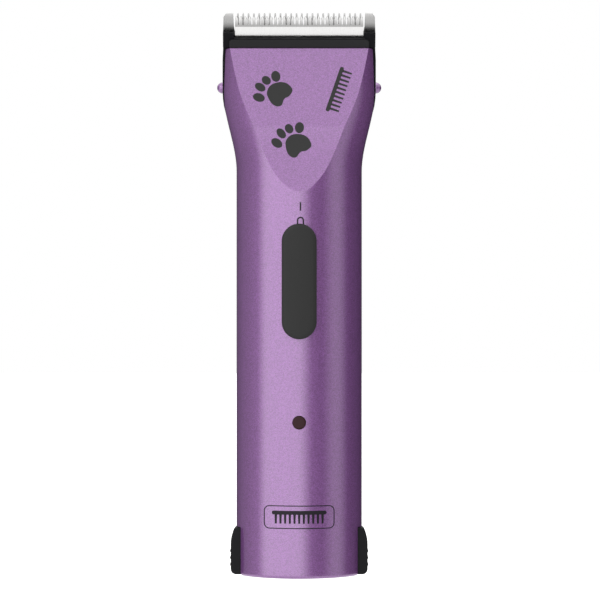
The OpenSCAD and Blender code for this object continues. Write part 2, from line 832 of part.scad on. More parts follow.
module comb_screws() {
  color("silver") in_blade() for (s = [-1, 1]) translate([s * 11, 0, -15.4]) difference() {
    union() {
      rod_y(2, cutter_face + 0.1, -0.5);
      rod_y(3.8, -0.8, -0.1);
    }
    block([-1.5, -0.4, -0.25], [1.5, over, 0.25]);
  }
}

module adjuster_pin_places() {
  for (s = [-1, 1]) translate([s * adjust_pin_x, 0, bar_v]) children();
}

// Bar across the head: its domed ends stand out on both sides
module length_adjuster() {
  reach = head_half + 1.6 - adjust_d / 2;
  color("mediumpurple") difference() {
    translate([0, bar_y, bar_z]) {
      rod_x(adjust_d, 2 * reach);
      for (s = [-1, 1]) translate([s * reach, 0, 0]) sphere(d = adjust_d);
    }
    in_blade() adjuster_pin_places() rod_y(adjust_pin_d, bar_w, over);
  }
}

module adjuster_pins() {
  color("silver") in_blade() adjuster_pin_places() rod_y(adjust_pin_d, bar_w, -0.2);
}

module battery_case() {
  low = cap_top + fit;
  h = case_top - low;
  color("#2a2a2a") difference() {
    translate([0, case_y, low]) linear_extrude(h) rounded2d(case_w, case_d, case_r);
    translate([0, case_y, low + case_wall]) linear_extrude(h - 2 * case_wall)
      rounded2d(case_w - 2 * case_wall, case_d - 2 * case_wall, case_r - case_wall);
  }
}

module battery_cells() {
  low = cap_top + fit + case_wall + 0.2;
  h = case_top - case_wall - 0.2 - low;
  color("steelblue") for (s = [-1, 1])
    translate([s * (cell_d / 2 + 0.2), case_y, low]) cylinder(h = h, d = cell_d);
}

// End of the pack: it closes the base and carries the release buttons
module battery_cap() {
  color("#222222") difference() {
    linear_extrude(cap_top) polygon(section(0, wall + room));
    for (s = [-1, 1]) block([s * (pocket_x + 15) - 15, -cutout_half - 0.2, 0],
      [s * (pocket_x + 15) + 15, cutout_half + 0.2, 40]);
    block([-pocket_x + 3, -11, 4], [pocket_x - 3, 11, 40]);
    translate([0, 0, spring_z]) rod_x(spring_d + 0.4, 2 * pocket_x + over);
    for (s = [-1, 1]) translate([s * 5, 7, -over]) cylinder(h = 2.4, d = 3.2);
  }
}

module pack_contacts() {
  color("gold") for (s = [-1, 0, 1])
    block([s * 6 - 1.6, case_y - 4, case_top], [s * 6 + 1.6, case_y + 4, case_top + 0.2]);
}

module charging_contacts() {
  color("gold") for (s = [-1, 1]) translate([s * 5, 7, 0.3]) cylinder(h = 1.1, d = 3);
}

// A coil of round wire along x, from 0 to its length
module coil(d, wire, l, turns) {
  ring = 6;
  steps = 12 * turns;
  r = (d - wire) / 2;
  points = [
    for (k = [0:steps])
      for (i = [0:ring - 1])
        let (a = 360 * turns * k / steps, b = 360 * i / ring, q = r + wire / 2 * cos(b))
        [wire / 2 + (l - wire) * k / steps + wire / 2 * sin(b), q * cos(a), q * sin(a)]
  ];
  sides = [
    for (k = [0:steps - 1])
      for (i = [0:ring - 1])
        for (half = [0, 1])
          let (a = k * ring + i, b = k * ring + (i + 1) % ring)
          half == 0 ? [a, b, b + ring] : [a, b + ring, a + ring]
  ];
  ends = [[for (i = [ring - 1:-1:0]) i], [for (i = [0:ring - 1]) steps * ring + i]];
  polyhedron(points = points, faces = concat(sides, ends));
}

module release_springs() {
  color("silver") for (s = [0, 1]) mirror([s, 0, 0])
    translate([pocket_x - 2.9, 0, spring_z]) coil(spring_d, 0.5, 3.9, 4);
}

// Side button with a rounded shoulder, a soft lower corner and three grip ridges
module release_button() {
  out = half_w + button_out;
  corner = 1.7;
  shoulder = 9.5;
  steps = 8;
  top = button_h;
  bottom_arc = [
    for (i = [0:steps])
      [out - corner + corner * sin(90 * i / steps), button_z + corner - corner * cos(90 * i / steps)]
  ];
  top_arc = [
    for (i = [0:steps])
      [half_w - 0.2 + (button_out + 0.2) * cos(90 * i / steps),
        shoulder + (top - shoulder) * sin(90 * i / steps)]
  ];
  difference() {
    union() {
      along_y(2 * button_half)
        polygon(concat([[button_in, top], [button_in, button_z]], bottom_arc, top_arc));
      for (z = [3.3, 5.4, 7.5]) translate([out - 0.1, 0, z])
        rotate([90, 0, 0]) cylinder(h = 2 * button_half - 2, d = 0.7, center = true);
    }
    translate([button_in, 0, spring_z]) rod_x(spring_d + 0.8, 2 * (button_throw + 0.5));
    block([out - 1.2, button_half - 1.2, -over], [out + 1, button_half + 1, button_z + 0.001]);
  }
}

module release_button_right() {
  color("#1c1c1c") release_button();
}

module release_button_left() {
  color("#1c1c1c") mirror([1, 0, 0]) release_button();
}

front_shell();
rear_shell();
shell_screws();
chassis();
motor_can();
motor_magnets();
motor_bearing();
motor_end_cap();
motor_terminals();
motor_screws();
motor_leads();
circuit_board();
board_parts();
switch_body();
charge_light();
light_lens();
contact_springs();
pivot_pin();
lever_clip();
hook_pin();
switch_slider();
switch_link();
motor_shaft();
motor_core();
eccentric_hub();
eccentric_bearing();
drive_lever();
lever_bushing();
blade_carrier();
tension_spring();
spring_screws();
click_spring();
cutter_blade();
cutter_driver();
driver_rivets();
comb_blade();
comb_mount();
comb_screws();
length_adjuster();
adjuster_pins();
battery_case();
battery_cells();
battery_cap();
pack_contacts();
charging_contacts();
release_springs();
release_button_left();
release_button_right();
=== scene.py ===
# %% [markdown]
# # A cordless pet clipper, dressed in Blender
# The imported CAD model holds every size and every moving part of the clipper.
# This lesson adds the looks: smooth lacquered housings, printed marks, a soft
# slider, ground steel blades and moulded plastic, all in metres and all in the
# same frame as the CAD parts.

# %% Load the frame
import math

import bmesh
import bpy
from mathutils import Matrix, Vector


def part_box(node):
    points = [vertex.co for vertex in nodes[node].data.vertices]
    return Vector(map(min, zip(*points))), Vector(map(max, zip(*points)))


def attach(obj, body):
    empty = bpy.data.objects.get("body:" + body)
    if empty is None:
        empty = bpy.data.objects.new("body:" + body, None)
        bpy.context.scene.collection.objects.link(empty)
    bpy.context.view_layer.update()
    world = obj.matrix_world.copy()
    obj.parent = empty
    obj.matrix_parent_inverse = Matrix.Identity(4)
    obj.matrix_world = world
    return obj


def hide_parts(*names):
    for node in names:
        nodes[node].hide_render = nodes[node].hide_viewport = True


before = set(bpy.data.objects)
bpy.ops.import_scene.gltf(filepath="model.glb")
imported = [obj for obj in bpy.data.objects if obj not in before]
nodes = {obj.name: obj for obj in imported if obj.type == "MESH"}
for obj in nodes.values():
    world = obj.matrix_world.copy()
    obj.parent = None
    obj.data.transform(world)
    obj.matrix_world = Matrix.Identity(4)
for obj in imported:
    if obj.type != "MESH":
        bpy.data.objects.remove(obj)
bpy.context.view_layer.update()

MM = 0.001

# %% [markdown]
# ## Camera
# A product view: the camera stands level with the middle of the clipper, a
# little under a metre in front of it, with a long lens so that the straight
# handle stays straight.

# %% Camera
camera_data = bpy.data.cameras.new("studio_camera")
camera_data.lens = 182.3
camera_data.clip_end = 20
camera = bpy.data.objects.new("studio_camera", camera_data)
camera.location = (0.25 * MM, -0.94, 84.2 * MM)
camera.rotation_euler = (math.radians(90), 0, 0)
bpy.context.scene.collection.objects.link(camera)
bpy.context.scene.camera = camera
print("camera lens", camera_data.lens, "mm")

# %% [markdown]
# ## Light
# Metallic lacquer shows the room more than it shows its own colour, so the
# studio is a ring of soft panels. A wide panel stands at the front left, a
# narrow one at the right, and dim gaps between them draw the dark bands down
# the handle. The ring is a colour ramp round the vertical axis of the world.
# Overhead and below the light is even, so only the upright surfaces show the
# panels.

# %% World
ROOM = [  # share of a turn (0.5 faces the clipper's front), brightness
    (0.00, 0.04), (0.10, 0.12), (0.215, 0.40), (0.275, 0.55), (0.315, 2.20),
    (0.50, 2.20), (0.525, 1.90), (0.575, 0.35), (0.63, 0.20), (0.685, 0.98),
    (0.72, 0.93), (0.77, 0.10), (0.88, 0.03), (1.00, 0.04),
]
BRIGHTEST = 3.0
world = bpy.data.worlds.new("studio")
world.use_nodes = True
bpy.context.scene.world = world
tree = world.node_tree
tree.nodes.clear()
way = tree.nodes.new("ShaderNodeTexCoord")
turn = tree.nodes.new("ShaderNodeMapping")
turn.inputs["Rotation"].default_value = (0, 0, math.radians(90))
circle = tree.nodes.new("ShaderNodeTexGradient")
circle.gradient_type = "RADIAL"
ring = tree.nodes.new("ShaderNodeValToRGB")
tree.links.new(way.outputs["Generated"], turn.inputs["Vector"])
tree.links.new(turn.outputs["Vector"], circle.inputs["Vector"])
tree.links.new(circle.outputs["Fac"], ring.inputs["Fac"])
stops = ring.color_ramp.elements
while len(stops) < len(ROOM):
    stops.new(0.5)
for stop, (place, light) in zip(stops, ROOM):
    stop.position = place
    stop.color = (*[light / BRIGHTEST] * 3, 1)
height = tree.nodes.new("ShaderNodeSeparateXYZ")
tree.links.new(way.outputs["Generated"], height.inputs["Vector"])


def fade(colour, start, full, level):
    """Blends the ring into one even grey for directions past a height."""
    share = tree.nodes.new("ShaderNodeMapRange")
    share.interpolation_type = "SMOOTHSTEP"
    share.inputs["From Min"].default_value = start
    share.inputs["From Max"].default_value = full
    blend = tree.nodes.new("ShaderNodeMix")
    blend.data_type = "RGBA"
    blend.inputs["B"].default_value = (*[level / BRIGHTEST] * 3, 1)
    tree.links.new(height.outputs["Z"], share.inputs["Value"])
    tree.links.new(share.outputs["Result"], blend.inputs["Factor"])
    tree.links.new(colour, blend.inputs["A"])
    return blend.outputs["Result"]


above = fade(ring.outputs["Color"], 0.25, 0.50, 1.50)
room_light = fade(above, -0.15, -0.50, 1.32)
glow = tree.nodes.new("ShaderNodeBackground")
glow.inputs["Strength"].default_value = BRIGHTEST
white = tree.nodes.new("ShaderNodeBackground")
white.inputs["Color"].default_value = (1, 1, 1, 1)
rays = tree.nodes.new("ShaderNodeLightPath")
pick = tree.nodes.new("ShaderNodeMixShader")
sky = tree.nodes.new("ShaderNodeOutputWorld")
tree.links.new(room_light, glow.inputs["Color"])
tree.links.new(rays.outputs["Is Camera Ray"], pick.inputs["Fac"])
tree.links.new(glow.outputs["Background"], pick.inputs[1])
tree.links.new(white.outputs["Background"], pick.inputs[2])
tree.links.new(pick.outputs["Shader"], sky.inputs["Surface"])
bpy.context.scene.view_settings.view_transform = "Standard"
print("light ring with", len(stops), "stops")

# %% [markdown]
# Two area lights join the ring, as softboxes in a studio do: a weak one from the
# front left, and one from overhead. Their size keeps the edges of the shadows
# soft, which small lamps wouldn't do.

# %% Softboxes
def softbox(name, place, size, power):
    """A square panel light that faces the middle of the clipper."""
    data = bpy.data.lights.new(name, "AREA")
    data.shape = "RECTANGLE"
    data.size, data.size_y = size
    data.energy = power
    light = bpy.data.objects.new(name, data)
    light.location = place
    aim = Vector((0, 0, 0.09)) - Vector(place)
    light.rotation_euler = aim.to_track_quat("-Z", "Y").to_euler()
    bpy.context.scene.collection.objects.link(light)
    return light


softbox("key_softbox", (-0.75, -0.75, 0.75), (0.6, 0.6), 2)
softbox("top_softbox", (0.1, 0.1, 1.2), (0.8, 0.8), 3)
print("two softboxes")

# %% [markdown]
# ## Floor
# A pale sheet below the clipper, low enough for the battery pack to slide out
# above it. It glows a little, as a lit paper sweep does, so that it runs into
# the white background and keeps only a soft shadow. Reflected rays pass through
# it, so the lacquer shows the panels all the way down to the base.

# %% Floor
FLOOR_Z, FLOOR_R = -80 * MM, 6  # the pack's lowest place is 75 mm below the base
floor_mesh = bpy.data.meshes.new("floor")
form = bmesh.new()
bmesh.ops.create_circle(form, cap_ends=True, segments=96, radius=FLOOR_R)
form.to_mesh(floor_mesh)
form.free()
floor = bpy.data.objects.new("floor", floor_mesh)
floor.location.z = FLOOR_Z
bpy.context.scene.collection.objects.link(floor)
paper = bpy.data.materials.new("paper_sweep")
paper.use_nodes = True
sheet = paper.node_tree.nodes["Principled BSDF"]
sheet.inputs["Base Color"].default_value = (0.9, 0.9, 0.9, 1)
sheet.inputs["Roughness"].default_value = 0.9
sheet.inputs["Specular IOR Level"].default_value = 0.1
sheet.inputs["Emission Color"].default_value = (1, 1, 1, 1)
sheet.inputs["Emission Strength"].default_value = 0.28
seen = paper.node_tree.nodes.new("ShaderNodeLightPath")
clear = paper.node_tree.nodes.new("ShaderNodeBsdfTransparent")
choice = paper.node_tree.nodes.new("ShaderNodeMixShader")
result = paper.node_tree.nodes["Material Output"]
paper.node_tree.links.new(seen.outputs["Is Camera Ray"], choice.inputs["Fac"])
paper.node_tree.links.new(clear.outputs["BSDF"], choice.inputs[1])
paper.node_tree.links.new(sheet.outputs["BSDF"], choice.inputs[2])
paper.node_tree.links.new(choice.outputs["Shader"], result.inputs["Surface"])
floor_mesh.materials.append(paper)
print("floor", floor_mesh.name)

# %% [markdown]
# ## Effects that several finishes share
# Each effect is a node group: named inputs, named outputs, built once. A
# material places the group with its own values. The groups put out only values
# that change over the surface, and the shader itself stays in the material.

# %% Group helper
def new_group(name, numbers, outputs):
    """An empty shader group with number inputs and value outputs."""
    group = bpy.data.node_groups.new(name, "ShaderNodeTree")
    for label, value in numbers:
        socket = group.interface.new_socket(label, in_out="INPUT", socket_type="NodeSocketFloat")
        socket.default_value = value
    for label in outputs:
        group.interface.new_socket(label, in_out="OUTPUT", socket_type="NodeSocketFloat")
    return group, group.nodes.new("NodeGroupInput"), group.nodes.new("NodeGroupOutput")


def maths(group, kind, a, b):
    """A Math node; a and b are sockets or plain numbers."""
    node = group.nodes.new("ShaderNodeMath")
    node.operation = kind
    for slot, value in ((0, a), (1, b)):
        if isinstance(value, (int, float)):
            node.inputs[slot].default_value = value
        else:
            group.links.new(value, node.inputs[slot])
    return node.outputs["Value"]


def in_range(group, inlet, share):
    """Scales a value of 0 to 1 into the range between the inputs Low and High."""
    spread = maths(group, "SUBTRACT", inlet.outputs["High"], inlet.outputs["Low"])
    scaled = maths(group, "MULTIPLY", share, spread)
    return maths(group, "ADD", scaled, inlet.outputs["Low"])


def noise(group, vector, scale, detail):
    """A noise over the surface; vector and scale are sockets."""
    node = group.nodes.new("ShaderNodeTexNoise")
    node.inputs["Detail"].default_value = detail
    group.links.new(vector, node.inputs["Vector"])
    group.links.new(scale, node.inputs["Scale"])
    return node.outputs["Fac"]


print("group helpers ready")

# %% [markdown]
# Metal flake: the lacquer holds tiny flakes that lie at slightly different
# angles. Cells of a Voronoi pattern stand for them, one random value for each,
# and a second, finer set keeps the pattern from looking like a grid.

# %% Flake group
flake_group, g_in, g_out = new_group(
    "metal_flake", [("Size", 3200.0), ("Low", 0.8), ("High", 1.2)], ["Value", "Height"])
spot = flake_group.nodes.new("ShaderNodeTexCoord").outputs["Object"]
cells = []
for ratio in (1.0, 1.9):
    cell = flake_group.nodes.new("ShaderNodeTexVoronoi")
    split = flake_group.nodes.new("ShaderNodeSeparateColor")
    scale = maths(flake_group, "MULTIPLY", g_in.outputs["Size"], ratio)
    flake_group.links.new(spot, cell.inputs["Vector"])
    flake_group.links.new(scale, cell.inputs["Scale"])
    flake_group.links.new(cell.outputs["Color"], split.inputs["Color"])
    cells.append(split.outputs["Red"])
mean = maths(flake_group, "MULTIPLY", maths(flake_group, "ADD", *cells), 0.5)
flake_group.links.new(in_range(flake_group, g_in, mean), g_out.inputs["Value"])
flake_group.links.new(mean, g_out.inputs["Height"])
print("group", flake_group.name)

# %% [markdown]
# Moulded grain: plastic copies the fine spark-eroded texture of its mould.
# Two noises, one coarse and one fine, give the height.

# %% Grain group
grain_group, g_in, g_out = new_group(
    "moulded_grain", [("Size", 2500.0), ("Low", 0.5), ("High", 0.6)], ["Height", "Value"])
spot = grain_group.nodes.new("ShaderNodeTexCoord").outputs["Object"]
fine = noise(grain_group, spot, g_in.outputs["Size"], 3)
broad = noise(grain_group, spot, maths(grain_group, "MULTIPLY", g_in.outputs["Size"], 0.04), 2)
grain_group.links.new(fine, g_out.inputs["Height"])
grain_group.links.new(in_range(grain_group, g_in, broad), g_out.inputs["Value"])
print("group", grain_group.name)

# %% [markdown]
# Ground lines: a grinding wheel leaves long, thin scratches in one direction.
# Noise that is squeezed across the lines and stretched along them looks the
# same.

# %% Ground lines group
lines_group, g_in, g_out = new_group(
    "ground_lines", [("Size", 900.0), ("Low", 0.2), ("High", 0.4)], ["Height", "Value"])
spot = lines_group.nodes.new("ShaderNodeTexCoord").outputs["Object"]
pull = lines_group.nodes.new("ShaderNodeMapping")
pull.inputs["Scale"].default_value = (12, 1, 0.6)
lines_group.links.new(spot, pull.inputs["Vector"])
scratch = noise(lines_group, pull.outputs["Vector"], g_in.outputs["Size"], 4)
lines_group.links.new(scratch, g_out.inputs["Height"])
lines_group.links.new(in_range(lines_group, g_in, scratch), g_out.inputs["Value"])
print("group", lines_group.name)

# %% [markdown]
# ## Finishes
# One material for each slot of the record. The helper places an effect group,
# drives the roughness and a fine bump from it, and tints the colour a little,
# since no real surface has one flat colour.

# %% Finish helper
finishes = {}


def finish(name, colour, effect, size, rough, bump, metal=0.0, tint=0.06, **sockets):
    """A material: rough is (low, high), bump a depth in mm, tint the colour's spread."""
    material = bpy.data.materials.new("finish_" + name)
    material.use_nodes = True
    tree = material.node_tree
    shader = tree.nodes["Principled BSDF"]
    shader.inputs["Metallic"].default_value = metal
    for label, value in sockets.items():
        shader.inputs[label.replace("_", " ")].default_value = value
    group = tree.nodes.new("ShaderNodeGroup")
    group.node_tree = effect
    group.inputs["Size"].default_value = size
    group.inputs["Low"].default_value, group.inputs["High"].default_value = rough
    tree.links.new(group.outputs["Value"], shader.inputs["Roughness"])
    shades = tree.nodes.new("ShaderNodeValToRGB")
    shades.color_ramp.elements[0].color = (*[c * (1 - tint) for c in colour], 1)
    shades.color_ramp.elements[1].color = (*[min(1, c * (1 + tint)) for c in colour], 1)
    tree.links.new(group.outputs["Height"], shades.inputs["Fac"])
    tree.links.new(shades.outputs["Color"], shader.inputs["Base Color"])
    relief = tree.nodes.new("ShaderNodeBump")
    relief.inputs["Distance"].default_value = bump * MM
    relief.inputs["Strength"].default_value = 0.5
    tree.links.new(group.outputs["Height"], relief.inputs["Height"])
    tree.links.new(relief.outputs["Normal"], shader.inputs["Normal"])
    finishes[name] = material
    return material


# %% [markdown]
# The housing's pearl lacquer: a metallic purple base with flakes, under a hard
# clear coat that gives the pale sheen of the panels.

# %% Lacquer
finish("purple_paint", (0.172, 0.065, 0.216), flake_group, 4200, (0.30, 0.42), 0.006, metal=0.55,
       tint=0.45, Coat_Weight=1.0, Coat_Roughness=0.13, Coat_IOR=1.8,
       Specular_Tint=(0.60, 0.36, 0.70, 1))
print("lacquer ready")

# %% [markdown]
# The plastics, the rubbery slider and the printing inks are one idea at other
# values: a colour, a broad sheen and the moulded grain. The dark ones have a low
# specular level, because the bright panels would otherwise turn them grey.

# %% Plastics, rubber and ink
finish("black_plastic", (0.012, 0.012, 0.013), grain_group, 2600, (0.42, 0.56), 0.012,
       Specular_IOR_Level=0.12)
finish("grey_plastic", (0.20, 0.20, 0.21), grain_group, 2400, (0.45, 0.58), 0.012)
finish("white_plastic", (0.74, 0.74, 0.70), grain_group, 2400, (0.32, 0.42), 0.006)
finish("slider_grey", (0.019, 0.019, 0.019), grain_group, 3200, (0.50, 0.60), 0.010, tint=0.12,
       Specular_IOR_Level=0.14)
finish("button_black", (0.006, 0.006, 0.007), grain_group, 3000, (0.48, 0.60), 0.014,
       Specular_IOR_Level=0.10)
finish("wire_cover", (0.48, 0.03, 0.03), grain_group, 1800, (0.35, 0.45), 0.004)
finish("board_green", (0.02, 0.16, 0.07), grain_group, 900, (0.28, 0.40), 0.004, tint=0.2)
finish("lens_red", (0.024, 0.008, 0.010), grain_group, 1500, (0.25, 0.35), 0.001, tint=0.2,
       Specular_IOR_Level=0.12)
finish("cell_wrap", (0.04, 0.17, 0.40), grain_group, 600, (0.18, 0.28), 0.004, tint=0.1)
finish("print_grey", (0.021, 0.021, 0.021), grain_group, 2200, (0.45, 0.55), 0.002,
       Specular_IOR_Level=0.15)
finish("print_black", (0.010, 0.008, 0.012), grain_group, 2200, (0.40, 0.50), 0.002,
       Specular_IOR_Level=0.15)
print(len(finishes), "finishes so far")

# %% [markdown]
# The metals are bare, so they have no coat, and their colour is the tint of
# what they reflect. Ground blades and screws, rolled contacts and wound copper
# show fine lines, while bronze and magnets are pressed from powder.

# %% Metals
finish("blade_steel", (0.66, 0.655, 0.65), lines_group, 700, (0.22, 0.36), 0.003, metal=1.0)
finish("bright_steel", (0.74, 0.74, 0.74), lines_group, 500, (0.12, 0.20), 0.001, metal=1.0)
finish("screw_steel", (0.50, 0.50, 0.51), lines_group, 600, (0.26, 0.38), 0.002, metal=1.0)
finish("bronze", (0.55, 0.36, 0.15), grain_group, 2600, (0.34, 0.48), 0.006, metal=1.0, tint=0.15)
finish("brass_contact", (0.85, 0.66, 0.28), lines_group, 600, (0.18, 0.28), 0.001, metal=1.0)
finish("copper", (0.72, 0.33, 0.17), lines_group, 1200, (0.26, 0.38), 0.010, metal=1.0, tint=0.2)
finish("magnet", (0.09, 0.09, 0.10), grain_group, 2000, (0.45, 0.60), 0.006, metal=0.7, tint=0.15)
print(len(finishes), "finishes")

# %% [markdown]
# The colours of the two blades carry painted light and shade. On the cutter, a painted highlight band (a
# painted reflection) lies below its teeth, painted shade lies under the lip, and its teeth are painted
# darker than the band. The comb is painted darker towards the bottom. A ramp over the height scales the
# colour of the steel to do this, on the side that faces forward only: from behind, the comb blade is
# plain steel.

# %% Painted light and shade on the two blades
def paint_light_by_height(name, new_name, stops):
    """A copy of a finish with painted light and shade: on the front, a ramp over the height scales its
    colour.
    """
    low, high = stops[0][0], stops[-1][0]
    material = finishes[name].copy()
    material.name = "finish_" + new_name
    tree = material.node_tree
    shader = tree.nodes["Principled BSDF"]
    plain = shader.inputs["Base Color"].links[0].from_socket
    place = tree.nodes.new("ShaderNodeTexCoord")
    split = tree.nodes.new("ShaderNodeSeparateXYZ")
    share = tree.nodes.new("ShaderNodeMapRange")
    share.inputs["From Min"].default_value = low * MM
    share.inputs["From Max"].default_value = high * MM
    ramp = tree.nodes.new("ShaderNodeValToRGB")
    while len(ramp.color_ramp.elements) < len(stops):
        ramp.color_ramp.elements.new(0.5)
    for stop, (z, level) in zip(ramp.color_ramp.elements, stops):
        stop.position = (z - low) / (high - low)
        stop.color = (level, level, level, 1)
    scaled = tree.nodes.new("ShaderNodeMix")
    scaled.data_type = "RGBA"
    scaled.blend_type = "MULTIPLY"
    facing = tree.nodes.new("ShaderNodeSeparateXYZ")
    front_only = tree.nodes.new("ShaderNodeMapRange")
    front_only.inputs["From Min"].default_value = 0.0
    front_only.inputs["From Max"].default_value = -0.4
    tree.links.new(place.outputs["Normal"], facing.inputs["Vector"])
    tree.links.new(facing.outputs["Y"], front_only.inputs["Value"])
    tree.links.new(front_only.outputs["Result"], scaled.inputs["Factor"])
    tree.links.new(place.outputs["Object"], split.inputs["Vector"])
    tree.links.new(split.outputs["Z"], share.inputs["Value"])
    tree.links.new(share.outputs["Result"], ramp.inputs["Fac"])
    tree.links.new(plain, scaled.inputs["A"])
    tree.links.new(ramp.outputs["Color"], scaled.inputs["B"])
    tree.links.new(scaled.outputs["Result"], shader.inputs["Base Color"])
    finishes[new_name] = material


# Painted light on the cutter: painted shade under the lip up to 165.4 mm, a painted highlight band up to
# 168.1 mm, and teeth painted darker than the band above it.
CUTTER_PAINTED_LIGHT = [  # height in mm, share of the steel's colour
    (165.0, 0.02), (165.4, 0.03), (165.5, 1.0), (168.1, 1.0), (168.2, 0.48),
    (170.0, 0.60), (171.5, 0.85),
]
# Painted shade on the comb: darker towards the bottom.
COMB_PAINTED_SHADE = [(166.0, 0.10), (168.0, 0.22), (169.6, 0.48), (171.2, 0.56), (172.5, 0.80)]
paint_light_by_height("blade_steel", "cutter_steel_painted_light", CUTTER_PAINTED_LIGHT)
paint_light_by_height("blade_steel", "comb_steel_painted_shade", COMB_PAINTED_SHADE)
# A darker black than the other plastic: painted shade in the gaps round the blade set's lip.
finish("carrier_black_painted_shade", (0.004, 0.004, 0.005), grain_group, 2600, (0.45, 0.58), 0.012,
       Specular_IOR_Level=0.06)
print(len(finishes), "finishes with the blade set's own")

# %% [markdown]
# Every CAD part comes with a material that is named for its slot. The finish of the same name takes its
# place, and three parts of the blade set have their own: the cutter and comb blades carry painted light
# and shade, and the carrier is a darker black that stands for painted shade in the gaps round the lip.

# %% Give each CAD part its finish
OWN = {"cutter_blade": "cutter_steel_painted_light", "comb_blade": "comb_steel_painted_shade", "blade_carrier": "carrier_black_painted_shade"}
for name, part in nodes.items():
    for place, held in enumerate(part.data.materials):
        part.data.materials[place] = finishes[OWN.get(name, held.name.split(".")[0])]
print(len(nodes), "CAD parts have a finish")

# %% [markdown]
# ## Soft edges
# Nothing moulded or ground has a perfectly sharp edge. A few modifiers give the CAD parts listed below a
# small rounded edge that catches the light, and leave the part's own mesh as it is: seams are joined,
# flat areas merged, edges bevelled, and the normals weighted so that the flats stay flat.

# %% Soften the CAD parts
def soften(name, width, steps=2, angle=32):
    """Rounds the edges of a CAD part with modifiers; width in mm, angle in degrees."""
    part = nodes[name]
    weld = part.modifiers.new("join_seams", "WELD")
    weld.merge_threshold = 0.002 * MM
    flats = part.modifiers.new("merge_flats", "DECIMATE")
    flats.decimate_type = "DISSOLVE"
    flats.angle_limit = math.radians(0.5)
    edges = part.modifiers.new("soft_edges", "BEVEL")
    edges.width = width * MM
    edges.segments = steps
    edges.limit_method = "ANGLE"
    edges.angle_limit = math.radians(angle)
    normals = part.modifiers.new("even_normals", "WEIGHTED_NORMAL")
    normals.keep_sharp = False
    for face in part.data.polygons:
        face.use_smooth = True


for name, width in {
    "battery_cap": 0.3, "release_button_left": 0.25, "release_button_right": 0.25,
    "comb_blade": 0.05, "cutter_blade": 0.05, "chassis": 0.2, "battery_case": 0.3,
    "comb_mount": 0.15, "cutter_driver": 0.12, "drive_lever": 0.15, "shell_screws": 0.1,
}.items():
    soften(name, width)
print("soft edges set")

# %% [markdown]
# ## The housing's form
# The handle is one smooth section, a little leaner than an ellipse in front and
# a little fuller behind, that flares into the head. The front of the head is
# planed flat: a facet that starts at a point below the head and widens upwards.
# The same formulas shape the CAD housing, so the fine skin built here lies on
# it. Only the slight hollow above the facet's point is added here.

# %% Section of the housing
shell_low, shell_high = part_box("front_shell")
HALF_W = 19.3 * MM
HALF_D = -shell_low.y
HEAD_HALF = shell_high.x
LENGTH = 172.5 * MM
SHELL_TOP = shell_high.z
WALL = 1.8 * MM
FLARE_Z, FLARE_L, REAR_L, REAR_END = LENGTH - 48.5 * MM, 25 * MM, 29 * MM, 9 * MM
FACET_Z, FACET_SLOPE = LENGTH - 55.1 * MM, 0.25
HOLLOW, HOLLOW_L = 0.45 * MM, 20 * MM
FRONT_POWER, HEAD_POWER, REAR_POWER = 1.85, 1.7, 2.2  # 2 is an ellipse
HEAD_SHIFT = 1.5 * MM
SEAT = [(-4.6, 161.7), (-2.9, 146.0), (2.0, 138.5), (9.0, 136.6)]  # y, z of the blade set's seat
SEAT_SIDE_Z = SEAT[2][1] * MM  # above it, the seat cuts into the front half too


def smooth(t):
    """Eases a share of 0 to 1 in and out."""
    t = min(1.0, max(0.0, t))
    return t * t * (3 - 2 * t)


def bend(c, power):
    """A sine or cosine, bent so that the section has the wanted fullness."""
    return math.copysign(abs(c) ** (2 / power), c)


def sizes_at(z):
    """Half width, front depth, rear depth, forward shift and front power at a height."""
    grow = smooth((z - FLARE_Z) / FLARE_L)
    half = HALF_W + (HEAD_HALF - HALF_W) * grow
    rear = HALF_D - (HALF_D - REAR_END) * smooth((z - FLARE_Z) / REAR_L)
    shift = HEAD_SHIFT * grow
    power = FRONT_POWER + (HEAD_POWER - FRONT_POWER) * grow
    return half, HALF_D - shift, rear + shift, shift, power


def facet_y(z):
    """Depth of the facet: nearly a plane, and a little hollow just above its point."""
    rise = z - FACET_Z
    hollow = HOLLOW * math.sin(math.pi * min(1.0, max(0.0, rise / HOLLOW_L)))
    return -HALF_D + FACET_SLOPE * rise + hollow


def skin(z, angle, pull=0.0):
    """A point of the skin: angle -90 is the front, 0 the right side, 90 the rear."""
    half, front, rear, shift, power = sizes_at(z)
    c, s = math.cos(math.radians(angle)), math.sin(math.radians(angle))
    used = power if s < 0 else REAR_POWER
    x = (half - pull) * abs(c) ** (2 / used)
    y = ((front if s < 0 else rear) - pull) * bend(s, used) - shift
    return x, max(y, facet_y(z) + pull)


def front_y(x, z):
    """Depth of the front skin at a place across and up."""
    half, front, rear, shift, power = sizes_at(z)
    y = -front * (1 - min(1.0, abs(x) / half) ** power) ** (1 / power) - shift
    return max(y, facet_y(z))


def seat_at(value, given, wanted):
    """Reads the seat line: from y to z, or from z to y."""
    line = sorted((p[given] * MM, p[wanted] * MM) for p in SEAT)
    for (a, b), (c, d) in zip(line, line[1:]):
        if value <= c:
            return b + (d - b) * max(0.0, (value - a) / (c - a))
    return line[-1][1]


def edge_angle(z, y_edge):
    """The angle at which the skin passes a depth on the right side."""
    low, high = -89.0, 89.0
    for _ in range(40):
        mid = (low + high) / 2
        if skin(z, mid)[1] < y_edge:
            low = mid
        else:
            high = mid
    return low


print("handle", round(2 * HALF_W / MM, 1), "mm wide, head", round(2 * HEAD_HALF / MM, 1), "mm")

# %% [markdown]
# Each half of the housing is a grid of points: rows up the handle, columns from
# one parting edge round to the other. The last columns dip inwards by a hair,
# which draws the parting line, and the first and last rows roll over the
# edges. One column of the front runs along the edge of the facet, so that the
# edge is crisp. Then the wall gets its thickness from a Solidify modifier.

